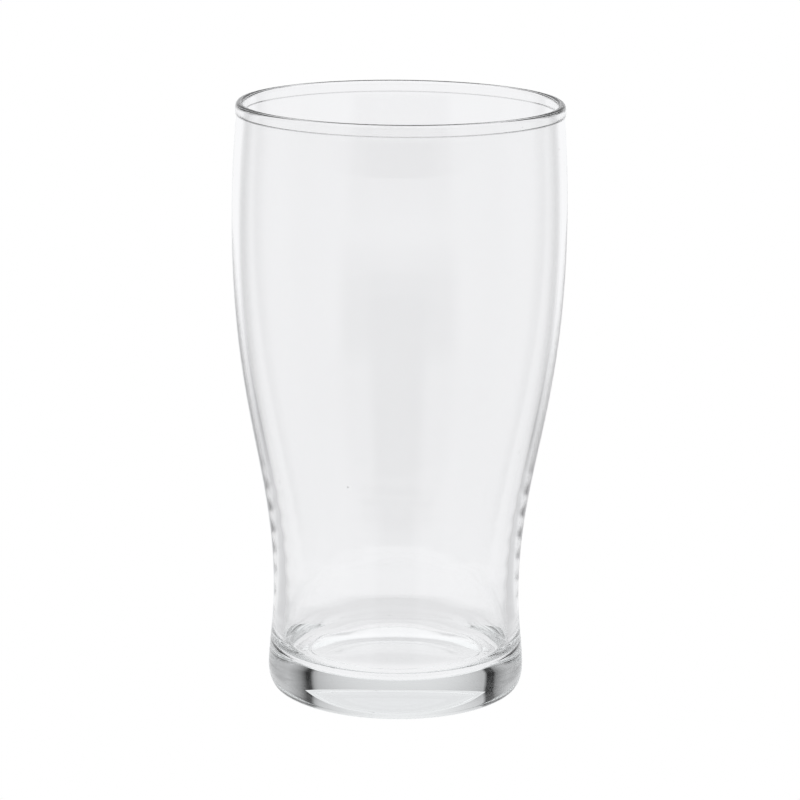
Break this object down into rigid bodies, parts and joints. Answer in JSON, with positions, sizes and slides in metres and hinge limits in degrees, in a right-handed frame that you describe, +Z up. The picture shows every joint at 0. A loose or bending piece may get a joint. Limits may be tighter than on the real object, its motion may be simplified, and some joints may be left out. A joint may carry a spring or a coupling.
{
  "type": "pint glass",
  "caption": "Tulip pint glass of clear glass, narrow at the waist and round at the belly, with a rounded lip and a heavy foot that rests on a flat ring.",
  "frame": {"origin": "centre of the foot, on the plane the glass stands on", "axes": "+Z up along the axis the glass is turned about, from the foot to the mouth"},
  "size_m": [0.0846, 0.0846, 0.152],
  "materials": {
    "glass": "clear, fire polished"
  },
  "bodies": {
    "root": {"heavy_foot": "glass", "tulip_wall": "glass", "rounded_lip": "glass"}
  },
  "joints": []
}
